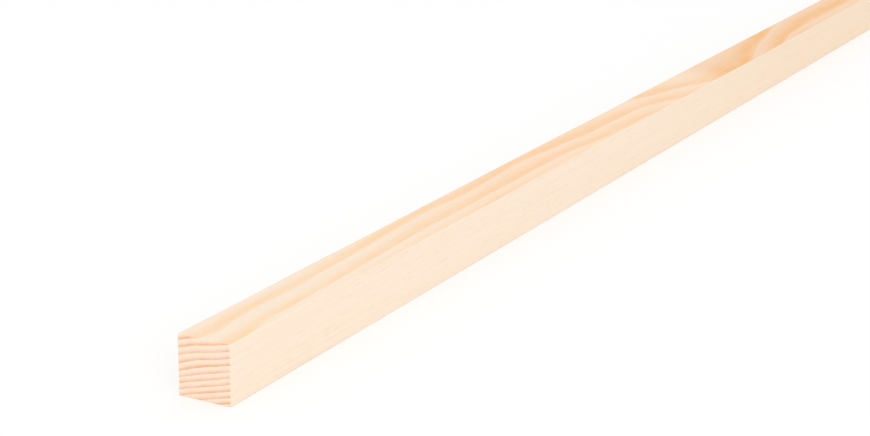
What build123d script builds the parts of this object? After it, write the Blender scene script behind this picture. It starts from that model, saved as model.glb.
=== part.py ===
"""Planed softwood batten: one length of square-edge timber, lying on its narrower face."""

import os

from build123d import *

# Driving dimensions, in millimetres
length = 1800  # sold length, along X
width = 34  # planed breadth of the face it lies on, along Y
height = 36  # planed height as it lies, along Z
arris_radius = 0.5  # light easing that the planer leaves on the four long arrises
end_break = 0.25  # loose fibres rubbed off around the edge of each sawn end

os.makedirs("parts", exist_ok=True)

# The section is drawn on the first sawn end, standing on the floor plane, and run along the grain.
with BuildPart() as batten:
    with BuildSketch(Plane.YZ.offset(-length / 2)):
        Rectangle(width, height, align=(Align.CENTER, Align.MIN))
    extrude(amount=length)

    # Planed faces: each long arris is eased over its whole length.
    long_arrises = batten.edges().filter_by(Axis.X)
    fillet(long_arrises, radius=arris_radius)

    # Cross-cut ends: square to the length, with the saw's sharp edge taken off all round.
    sawn_ends = batten.faces().filter_by(Axis.X)
    chamfer(sawn_ends.edges(), length=end_break)

batten.part.label = "batten"
export_step(batten.part, "parts/batten.step")
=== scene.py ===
from math import radians

import bmesh
import bpy
import numpy as np
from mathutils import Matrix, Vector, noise


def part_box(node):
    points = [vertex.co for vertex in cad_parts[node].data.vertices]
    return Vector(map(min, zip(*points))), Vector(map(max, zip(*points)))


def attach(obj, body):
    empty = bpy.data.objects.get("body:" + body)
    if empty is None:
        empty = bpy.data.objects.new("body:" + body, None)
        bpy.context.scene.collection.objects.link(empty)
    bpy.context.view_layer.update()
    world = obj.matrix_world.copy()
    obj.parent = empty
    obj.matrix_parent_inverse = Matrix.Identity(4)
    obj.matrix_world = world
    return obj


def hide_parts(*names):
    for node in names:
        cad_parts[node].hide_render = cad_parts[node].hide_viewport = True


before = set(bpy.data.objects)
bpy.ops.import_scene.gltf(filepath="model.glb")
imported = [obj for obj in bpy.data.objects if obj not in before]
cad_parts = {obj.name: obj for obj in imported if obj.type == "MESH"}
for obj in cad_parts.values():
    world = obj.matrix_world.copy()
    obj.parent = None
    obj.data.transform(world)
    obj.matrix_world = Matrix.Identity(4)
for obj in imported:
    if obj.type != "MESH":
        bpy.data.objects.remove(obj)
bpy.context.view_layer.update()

# Batten
# One length of planed softwood with nothing on the wood: four planed faces with lightly eased arrises,
# and two ends cross-cut by a circular saw. It is one piece, and it lies loose on the floor.
low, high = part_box("batten")
middle = [(low[axis] + high[axis]) / 2 for axis in range(3)]
length, breadth, height = (high[axis] - low[axis] for axis in range(3))
arris_radius, arris_steps = 0.0005, 3
end_break, break_steps = 0.00025, 2
edge_margin = 0.0007

bpy.ops.object.select_all(action="DESELECT")
bpy.ops.mesh.primitive_cube_add(size=1, location=middle, scale=(length, breadth, height))
batten = bpy.context.object
batten.name = "planed_batten"
bpy.ops.object.transform_apply(location=True, rotation=True, scale=True)

# A line is cut beside every edge of the block, and a fine net between those lines carries the relief.
bpy.ops.object.mode_set(mode="EDIT")
bpy.ops.mesh.select_mode(type="EDGE")
for axis in range(3):
    for line_at in (low[axis] + edge_margin, high[axis] - edge_margin):
        on_line = [line_at if i == axis else middle[i] for i in range(3)]
        across_line = [float(i == axis) for i in range(3)]
        bpy.ops.mesh.select_all(action="SELECT")
        bpy.ops.mesh.bisect(plane_co=on_line, plane_no=across_line)


def pick_edges(wanted):
    """Selects the edges of the batten for which wanted(edge) is true, and no others."""
    bpy.ops.mesh.select_all(action="DESELECT")
    net = bmesh.from_edit_mesh(batten.data)
    for edge in net.edges:
        if wanted(edge):
            edge.select_set(True)
    bmesh.update_edit_mesh(batten.data)


def reach(edge, axis):
    """How far an edge runs along one axis."""
    return abs(edge.verts[1].co[axis] - edge.verts[0].co[axis])


def rims_end(edge):
    """True for an edge with a sawn end on one side only."""
    square_on = 0.99
    return sum(abs(face.normal.x) > square_on for face in edge.link_faces) == 1


# The net has small squares on the ends and long oblongs on the faces, which are cut in two passes.
cuts_along, cuts_across, cuts_up = 15, 59, 63
for axis, cuts in ((1, cuts_across), (2, cuts_up), (0, cuts_along), (0, cuts_along)):
    pick_edges(lambda edge: reach(edge, axis) > 2 * edge_margin)
    bpy.ops.mesh.subdivide(number_cuts=cuts)

# The planer eases the long arrises, and the loose fibres round each sawn end are rubbed off.
sharp_turn = radians(45)
pick_edges(lambda edge: reach(edge, 0) > 0 and edge.calc_face_angle() > sharp_turn)
bpy.ops.mesh.bevel(offset=arris_radius, segments=arris_steps, affect="EDGES")
pick_edges(rims_end)
bpy.ops.mesh.bevel(offset=end_break, segments=break_steps, affect="EDGES")
bpy.ops.object.mode_set(mode="OBJECT")

# Growth rings, counted down through the height and over the breadth from the top back arris.
# Along the top the grain strays past a knot that was sawn away, and towards the bottom it calms down,
# but in the lower middle of the height the lines sink a little towards the back.
# Each row has the distance from the near end, and there the ring at the top back arris, the rings from
# that arris across the top, and the rings that a bow in their lines adds by the other arris.
rings_down, rings_closing, rings_fanning = 7.8, 0.87, 1.0
rings_sunk, sunk_most, sunk_spread, sunk_level = 0.3, 0.58, 0.18, 0.65
grain_run = (
    (0.000, 0.22, 1.83, -0.13),
    (0.015, -0.10, 2.05, -0.13),
    (0.040, 0.12, 2.18, -0.13),
    (0.100, -0.08, 2.48, -0.13),
    (0.160, -0.05, 2.70, -0.13),
    (0.220, 0.28, 2.52, -0.13),
    (0.260, 0.40, 2.30, -0.13),
    (0.310, 0.10, 2.75, -0.13),
    (0.395, 0.57, 2.03, -0.13),
    (0.440, 0.25, 2.40, -0.13),
    (0.490, 0.15, 1.50, 0.50),
    (0.520, 0.15, 1.45, 0.55),
    (0.560, -0.02, 1.75, 0.30),
    (0.600, -0.10, 1.68, -0.13),
    (0.620, -0.50, 1.78, -0.13),
    (0.640, -0.60, 1.38, -0.13),
    (0.655, -0.75, 1.40, -0.13),
    (0.670, -0.95, 0.66, 0.80),
    (0.690, -0.92, 0.15, 0.80),
    (0.720, -0.90, 0.00, 0.85),
    (0.740, -0.80, 0.45, 0.25),
    (0.775, -0.92, 0.82, 0.00),
    (0.800, -0.94, 1.11, 0.00),
    (0.820, -0.90, 1.50, -0.30),
    (0.840, -0.80, 1.60, -0.30),
    (0.860, -0.66, 1.45, 0.10),
    (0.880, -0.40, 1.15, 0.50),
    (0.900, -0.20, 0.95, 0.65),
    (0.920, 0.02, 0.40, 1.15),
    (0.955, 0.05, 1.70, -0.55),
    (1.130, 0.05, 1.61, -0.45),
    (1.280, -0.15, 1.90, -0.13),
    (1.470, 0.40, 2.10, -0.13),
    (1.620, 0.05, 1.80, -0.13),
    (1.800, 0.30, 1.90, -0.13),
)
station_pace, stations_eased = 0.003, 15

mesh = batten.data
spots = np.empty(3 * len(mesh.vertices))
mesh.vertices.foreach_get("co", spots)
spots = spots.reshape(-1, 3)
along = spots[:, 0] - low[0]
across = (high[1] - spots[:, 1]) / breadth
down = (high[2] - spots[:, 2]) / height


def eased(column):
    """One column of the grain's run, made smooth and read at every vertex."""
    stations = np.linspace(0, length, round(length / station_pace) + 1)
    window = np.hanning(stations_eased)
    values = np.interp(stations, [row[0] for row in grain_run], [row[column] for row in grain_run])
    values = np.pad(values, stations_eased // 2, mode="edge")
    return np.interp(along, stations, np.convolve(values, window / window.sum(), mode="valid"))


def uneven(waves):
    """Smooth noise at every vertex, from -1 to 1, with its waves per metre along, across and up."""
    return np.array([noise.noise(spot) for spot in spots * waves])


# The lines waver finely all over, and drift slowly from the near end onwards and towards the bottom.
waver_rings, waver_waves = 0.11, (3, 85, 30)
drift_rings, drift_waves, drift_builds = 0.5, (1.7, 9, 2), 0.6
ring_there, rings_over, rings_bowed = grain_run[0][1:]
rings = ring_there + rings_over * across + rings_bowed * across**2
rings += rings_down * down + rings_closing * down**2 + rings_fanning * down * across
strayed = eased(1) - ring_there + (eased(2) - rings_over) * across + (eased(3) - rings_bowed) * across**2
rings += (1 - down) * strayed
rings -= rings_sunk * np.exp(-(((down - sunk_most) / sunk_spread) ** 2)) * (1 - across / sunk_level)
rings += waver_rings * uneven(waver_waves)
rings += drift_rings * uneven(drift_waves) * down * np.minimum(along / drift_builds, 1)
ring_count = mesh.attributes.new("growth_ring", "FLOAT", "POINT")
ring_count.data.foreach_set("value", rings.astype(np.float32))

# Summer wood through one year: none in spring, growing to the end of the ring, where it stops short.
summer_shape = ((0, 0), (0.25, 0.02), (0.5, 0.25), (0.7, 0.65), (0.86, 0.97), (0.95, 1), (1, 0))
summer_relief = np.interp(rings % 1, *zip(*summer_shape))


def press_in(name, weights, depth):
    """Sinks the surface by a depth times the weight of each vertex."""
    group = batten.vertex_groups.new(name=name)
    for vertex in np.flatnonzero(weights > 0):
        group.add([int(vertex)], float(weights[vertex]), "REPLACE")
    sink = batten.modifiers.new(name, "DISPLACE")
    sink.vertex_group = name
    sink.mid_level = 0
    sink.strength = -depth
    bpy.ops.object.modifier_apply(modifier=name)
    batten.vertex_groups.clear()


# Soft spring wood lies a little below the hard summer wood, and the saw leaves its arcs on the ends.
spring_depth, saw_depth = 0.00005, 0.00009
saw_pitch, saw_beat, beat_share = 0.0026, 0.0096, 0.4
blade_y, blade_z = -0.06, -0.125
inset = np.array([length, breadth, height]) / 2 - np.abs(spots - middle)
on_end = inset[:, 0] < end_break / 2
press_in("spring_wood", np.where(on_end, 0, 1 - summer_relief), spring_depth)
blade_turns = 2 * np.pi * np.hypot(spots[:, 1] - blade_y, spots[:, 2] - blade_z)
beat = 1 - beat_share + beat_share * np.cos(blade_turns / saw_beat)
saw_arcs = beat * (1 + np.cos(blade_turns / saw_pitch)) / 2
press_in("saw_arcs", np.where(on_end, saw_arcs, 0), saw_depth)

# Handling has dented the long arrises here and there, and the saw tore fibres from the rim of each end.
dent_depth, dent_waves, dents_over = 0.0006, (9, 70, 70), 0.1
tear_depth, tear_waves, tears_over = 0.0005, (5, 420, 420), 0.15
at_arris = np.clip(1 - np.maximum(inset[:, 1], inset[:, 2]) / edge_margin, 0, 1)
dents = np.clip(uneven(dent_waves) - dents_over, 0, 1)
press_in("dents", at_arris * dents, dent_depth)
to_side = np.minimum(inset[:, 1], inset[:, 2])
at_rim = np.clip(1 - np.maximum(inset[:, 0], to_side) / edge_margin, 0, 1)
tears = np.clip(uneven(tear_waves) - tears_over, 0, 1)
press_in("tears", at_rim * tears, tear_depth)
round_turn = radians(35)
bpy.ops.object.shade_smooth_by_angle(angle=round_turn)

# A map of its own gives each long face two broad strips, one for each half of the length, and each
# sawn end a square.
strips, gutter, strip_top = 8, 0.06, 0.78
end_size, end_left, end_apart, end_foot = 0.19, 0.02, 0.5, 0.8
normals = np.array([face.normal for face in mesh.polygons])
centres = np.array([face.center for face in mesh.polygons])
sizes = np.array([face.loop_total for face in mesh.polygons])
corners = np.empty(len(mesh.loops), dtype=int)
mesh.loops.foreach_get("vertex_index", corners)
share = ((spots - low) / (np.array(high) - low))[corners]
turned = np.abs(normals).argmax(axis=1)
upper = normals[np.arange(len(normals)), turned] > 0
far = centres[:, 0] > middle[0]
strip = np.repeat(4 * (turned == 2) + 2 * upper + far, sizes)
cross = np.where(np.repeat(turned == 2, sizes), share[:, 1], share[:, 2])
ends = np.repeat(turned == 0, sizes)
far_half = np.repeat(far, sizes)
flat = np.empty((len(corners), 2))
flat[:, 0] = (strip + gutter + (1 - 2 * gutter) * cross) / strips
flat[:, 1] = strip_top * (2 * share[:, 0] - far_half)
flat[ends, 0] = end_left + end_size * share[ends, 1] + end_apart * far_half[ends]
flat[ends, 1] = end_foot + end_size * share[ends, 2]
bake_map = mesh.uv_layers.new(name="OFBake")
bake_map.data.foreach_set("uv", np.clip(flat, 0, 1).ravel())


# Softwood: pale spring wood, and darker summer wood that shows as bands on the planed top and as close
# lines on the sawn ends. On the sides, which cut straight across the rings, a painted highlight washes it
# nearly all out.
def seen(red, green, blue):
    """A colour given as a screen shows it, out of 255."""
    full, foot, bend = 255, 0.055, 2.4
    return [((shown / full + foot) / (1 + foot)) ** bend for shown in (red, green, blue)] + [1]


def add(tree, kind, *feeds, **settings):
    """A new node with its settings, and its inputs set or linked in order. None leaves one as it is."""
    made = tree.nodes.new(kind)
    for name, value in settings.items():
        setattr(made, name, value)
    for socket, feed in zip(made.inputs, feeds):
        if isinstance(feed, bpy.types.NodeSocket):
            tree.links.new(feed, socket)
        elif feed is not None:
            socket.default_value = feed
    return made


softwood = bpy.data.materials.new("planed_softwood")
softwood.use_nodes = True
wood = softwood.node_tree
surface = wood.nodes["Principled BSDF"]
place = add(wood, "ShaderNodeTexCoord").outputs
point = add(wood, "ShaderNodeSeparateXYZ", place["Object"]).outputs
turn = add(wood, "ShaderNodeSeparateXYZ", place["Normal"]).outputs


def calc(operation, a, b=None):
    """The result of one sum."""
    return add(wood, "ShaderNodeMath", a, b, operation=operation).outputs[0]


def ramp(value, start, stop, at_start=0.0, at_stop=1.0):
    """A value taken from one range to another along a soft S."""
    way = "SMOOTHSTEP"
    made = add(wood, "ShaderNodeMapRange", value, start, stop, at_start, at_stop, interpolation_type=way)
    return made.outputs[0]


def mix(amount, a, b):
    """Number a taken towards number b."""
    return add(wood, "ShaderNodeMix", amount, None, a, b, data_type="FLOAT").outputs[0]


def blend(amount, a, b):
    """Colour a taken towards colour b, past the node's inputs for numbers and vectors."""
    numbers_and_vectors = [None] * 5
    made = add(wood, "ShaderNodeMix", amount, *numbers_and_vectors, a, b, data_type="RGBA")
    return made.outputs[2]


def drawn_out(waves_along, waves_across, detail):
    """Noise from 0 to 1, drawn out along the grain by its waves per metre each way, with fine detail."""
    stretch = (waves_along, waves_across, waves_across)
    grain = add(wood, "ShaderNodeMapping", place["Object"], None, None, stretch)
    return add(wood, "ShaderNodeTexNoise", grain.outputs[0], None, 1.0, detail).outputs["Fac"]


def facing(axis):
    """How squarely the surface faces along one axis, either way, from 0 to 1."""
    return calc("ABSOLUTE", turn[axis])


def follow(value, points):
    """A value read off a line drawn straight from point to point."""
    drawn = add(wood, "ShaderNodeFloatCurve", None, value)
    line = drawn.mapping.curves[0]
    for spot in points[1:-1]:
        line.points.new(*spot)
    line.points[0].location = points[0]
    line.points[-1].location = points[-1]
    for spot in line.points:
        spot.handle_type = "VECTOR"
    drawn.mapping.update()
    return drawn.outputs[0]


# Which of its faces a point is on, by the way that the surface is turned there.
end_turn, side_turn, arris_turn = (0.85, 0.97), (0.75, 0.97), (0.1, 0.6)
sawn = ramp(facing("X"), *end_turn)
side = ramp(facing("Y"), *side_turn)
arris = ramp(calc("MINIMUM", facing("Y"), facing("Z")), *arris_turn)
flat_cut = calc("SUBTRACT", 1.0, side)

# The wood warms along the length, counted from its middle, and most of all past the place of the knot,
# where the colour comes, eases and goes again, and fades down through the height.
warming_run, onward_run = (-0.85, -0.45), (-0.5, 0.15)
knot_comes, knot_eases, knot_goes, knot_depth = (-0.21, -0.165), (-0.02, 0.06), (0.18, 0.5), (0.012, 0.034)
knot_eased = 0.8
warming = ramp(point["X"], *warming_run)
onward = ramp(point["X"], *onward_run)
to_knot = ramp(point["X"], *knot_comes)
past_knot = calc("MULTIPLY", to_knot, ramp(point["X"], *knot_eases, 1.0, knot_eased))
beyond_knot = calc("MULTIPLY", past_knot, ramp(point["X"], *knot_goes, 1.0, 0.0))
by_knot = calc("MULTIPLY", beyond_knot, ramp(point["Z"], *knot_depth))

# Each ring's edge is a little ragged, and some summers made darker wood than others: the strength of
# each, from two rings above the top back arris downwards.
ragged_noise, ragged_planed, ragged_sawn, noise_middle = (14, 420, 4), 0.26, 0.14, 0.5
summers = (0.9, 1.0, 0.91, 0.88, 0.75, 0.82, 1.0, 0.78, 0.85, 0.78, 0.9, 0.82, 1.0, 0.9)
rings_above = 2
unruly = calc("SUBTRACT", drawn_out(*ragged_noise), noise_middle)
ragged = calc("MULTIPLY", unruly, mix(sawn, ragged_planed, ragged_sawn))
ring = calc("ADD", add(wood, "ShaderNodeAttribute", attribute_name="growth_ring").outputs["Fac"], ragged)
year = calc("DIVIDE", calc("ADD", calc("FLOOR", ring), rings_above), len(summers) - 1)


def by_ring(values):
    """The value of the ring that a point is in, from a list of one for each ring."""
    return follow(year, [(i / (len(summers) - 1), value) for i, value in enumerate(values)])


# The summer wood spreads wider on the top past the knot, and on the way there it does so in one ring,
# the first below the top back arris.
spread_run, spread_near, spread_far, spread_sawn = (-0.14, -0.07), 0.75, 0.52, 1.05
wide_comes, wide_goes, spread_wide = (-0.82, -0.74), (-0.4, -0.32), 0.5
wide_ring = [float(i == rings_above) for i in range(len(summers))]
wide_stretch = calc("MULTIPLY", ramp(point["X"], *wide_comes), ramp(point["X"], *wide_goes, 1.0, 0.0))
wide = calc("MULTIPLY", wide_stretch, by_ring(wide_ring))
clear_spread = ramp(point["X"], *spread_run, spread_near, spread_far)
planed_spread = mix(wide, clear_spread, spread_wide)
through_year = calc("POWER", calc("FRACT", ring), mix(sawn, planed_spread, spread_sawn))

# Summer wood is patchy along each ring. On the planed faces, cut at a low angle, it stops less sharply
# than on the ends, and on the sides a painted highlight washes out all but a small share of it.
patch_noise, patch_range, patch_shares = (35, 150, 2), (0.3, 0.7), (0.78, 1.14)
planed_shape = ((0, 0.45), (0.1, 0.03), (0.25, 0.04), (0.5, 0.27), (0.7, 0.67), (0.9, 1), (1, 0.45))
side_share_under_highlight = 0.08
patchy = ramp(drawn_out(*patch_noise), *patch_range, *patch_shares)
strength = calc("MULTIPLY", by_ring(summers), patchy)
year_shape = mix(sawn, follow(through_year, planed_shape), follow(through_year, summer_shape))
summer = calc("MULTIPLY", year_shape, strength)
# On the sides a painted highlight washes out most of the summer wood.
show = calc("MULTIPLY", summer, ramp(side, 0, 1, 1.0, side_share_under_highlight))

# Spring and summer wood on the planed faces, near, further on, in the warm stretch and by the knot.
spring_near, spring_onward = seen(253, 235, 215), seen(252, 231, 206)
spring_warm, spring_knot = seen(255, 228, 200), seen(250, 217, 187)
summer_near, summer_warm, summer_knot = seen(255, 217, 171), seen(254, 206, 157), seen(249, 188, 118)
clear_spring = blend(onward, spring_near, spring_onward)
warm_spring = blend(calc("MULTIPLY", warming, flat_cut), clear_spring, spring_warm)
planed_spring = blend(calc("MULTIPLY", by_knot, flat_cut), warm_spring, spring_knot)
planed_summer = blend(by_knot, blend(warming, summer_near, summer_warm), summer_knot)

# On the sawn ends the spring wood is pinkish in places, and the summer wood is darker.
spring_sawn, spring_pink, summer_sawn = seen(255, 234, 212), seen(255, 232, 216), seen(242, 184, 135)
pink_noise, pink_range = (35, 220, 1), (0.35, 0.65)
pinkish = ramp(drawn_out(*pink_noise), *pink_range)
sawn_spring = blend(pinkish, spring_sawn, spring_pink)
spring_colour = blend(sawn, planed_spring, sawn_spring)
summer_colour = blend(sawn, planed_summer, summer_sawn)
colour = blend(show, spring_colour, summer_colour)

# Fine fibres and short flecks lie along the grain in every face, and painted shade dulls the arrises.
fibre_noise, fibre_range, fibre_share, fibre_tan = (9, 900, 2), (0.4, 0.75), 0.15, seen(244, 204, 160)
fleck_noise, fleck_range, fleck_share, fleck_tan = (110, 1200, 1), (0.6, 0.75), 0.26, seen(232, 200, 168)
arris_shade_share, arris_shade_tan = 0.11, seen(226, 190, 150)
fibres = drawn_out(*fibre_noise)
flecks = drawn_out(*fleck_noise)
colour = blend(ramp(fibres, *fibre_range, 0.0, fibre_share), colour, fibre_tan)
colour = blend(ramp(flecks, *fleck_range, 0.0, fleck_share), colour, fleck_tan)
# Painted shade darkens the eased arrises, so that they catch no more light than the faces beside them.
colour = blend(calc("MULTIPLY", arris, arris_shade_share), colour, arris_shade_tan)

# The saw has left open pores on the ends, and fine scratches along the arcs of its blade.
pore_waves, scratch_waves, mark_detail = 1500.0, 1400.0, 2.0
mark_range, mark_share, mark_tan = (1.05, 1.4), 0.3, seen(238, 200, 165)
pores = add(wood, "ShaderNodeTexNoise", place["Object"], None, pore_waves, mark_detail)
hub_shift, end_plane = (0, -blade_y, -blade_z), (0, 1, 1)
from_blade = add(wood, "ShaderNodeMapping", place["Object"], hub_shift, None, end_plane)
blade_way = add(wood, "ShaderNodeVectorMath", from_blade.outputs[0], operation="LENGTH").outputs["Value"]
scratches = add(
    wood, "ShaderNodeTexNoise", None, blade_way, scratch_waves, mark_detail, noise_dimensions="1D"
)
torn = calc("ADD", scratches.outputs["Fac"], pores.outputs["Fac"])
saw_marks = calc("MULTIPLY", sawn, ramp(torn, *mark_range, 0.0, mark_share))
colour = blend(saw_marks, colour, mark_tan)
wood.links.new(colour, surface.inputs["Base Color"])

# The fibres and the saw's marks are felt as well as seen, and the hard summer wood is the smoothest.
bump_strength, bump_depth = 0.5, 0.00004
spring_rough, fibre_rougher, summer_smoother, wood_gloss = 0.58, 0.12, -0.1, 0.25
grain_bump = add(wood, "ShaderNodeBump", bump_strength, bump_depth, None, mix(sawn, fibres, torn))
wood.links.new(grain_bump.outputs[0], surface.inputs["Normal"])
rougher = calc("ADD", calc("MULTIPLY", fibres, fibre_rougher), calc("MULTIPLY", summer, summer_smoother))
wood.links.new(calc("ADD", rougher, spring_rough), surface.inputs["Roughness"])
surface.inputs["Specular IOR Level"].default_value = wood_gloss
mesh.materials.append(softwood)

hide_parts("batten")
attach(batten, "root")

# Floor
# A plain white studio floor that the batten lies on, with a faint shadow beside it.
floor_size, floor_bounce, floor_shade, floor_glow = 30, 0.85, 0.6, 0.415
bpy.ops.object.select_all(action="DESELECT")
bpy.ops.mesh.primitive_plane_add(size=floor_size, location=(0, 0, low[2]))
floor = bpy.context.object
floor.name = "studio_floor"
floor_white = bpy.data.materials.new("floor_white")
floor_white.use_nodes = True
paint = floor_white.node_tree
paint.nodes.clear()


def grey(level):
    """A colour with no hue, from black at 0 to white at 1."""
    return [level] * 3 + [1]


def seen_straight(tree):
    """1 for a ray from the camera, or one that a shiny or clear surface sends on, and 0 for other light."""
    rays = add(tree, "ShaderNodeLightPath").outputs
    straight = rays["Is Camera Ray"]
    for sent_on in ("Is Glossy Ray", "Is Transmission Ray"):
        straight = add(tree, "ShaderNodeMath", straight, rays[sent_on], operation="MAXIMUM").outputs[0]
    return straight


bounce = add(paint, "ShaderNodeBsdfDiffuse", grey(floor_bounce))
shaded = add(paint, "ShaderNodeBsdfDiffuse", grey(floor_shade))
white = add(paint, "ShaderNodeEmission", grey(1), floor_glow)
shown = add(paint, "ShaderNodeAddShader", shaded.outputs[0], white.outputs[0])
floor_look = add(paint, "ShaderNodeMixShader", seen_straight(paint), bounce.outputs[0], shown.outputs[0])
add(paint, "ShaderNodeOutputMaterial", floor_look.outputs[0])
floor.data.materials.append(floor_white)

# Studio light
# A white room, and one broad soft lamp in front of the near end.
room_level, backdrop_level = 0.93, 1.0
room = bpy.data.worlds.new("white_room")
bpy.context.scene.world = room
room.use_nodes = True
air = room.node_tree
air.nodes.clear()
room_light = add(air, "ShaderNodeBackground", grey(1), room_level)
backdrop = add(air, "ShaderNodeBackground", grey(1), backdrop_level)
room_look = add(air, "ShaderNodeMixShader", seen_straight(air), room_light.outputs[0], backdrop.outputs[0])
add(air, "ShaderNodeOutputWorld", room_look.outputs[0])

lamp_place, lamp_turn = (-3.6, -2.9, 1.6), (radians(69), 0, radians(-47))
lamp_size, lamp_watts = 3.0, 39
bpy.ops.object.light_add(type="AREA", location=lamp_place, rotation=lamp_turn)
lamp = bpy.context.object
lamp.name = "soft_lamp"
lamp.data.size = lamp_size
lamp.data.energy = lamp_watts

# Camera
# It stands before the near end, to the right of the batten, and looks down along it.
eye_place = (-1.7222, -0.5937, 0.4236)
eye_turn = [radians(turned_by) for turned_by in (72.444, -0.583, -60.953)]
focal_length = 83.43
bpy.ops.object.camera_add(location=eye_place, rotation=eye_turn)
camera = bpy.context.object
camera.name = "photo_camera"
camera.data.lens = focal_length
bpy.context.scene.camera = camera

bpy.context.scene.view_settings.view_transform = "Standard"
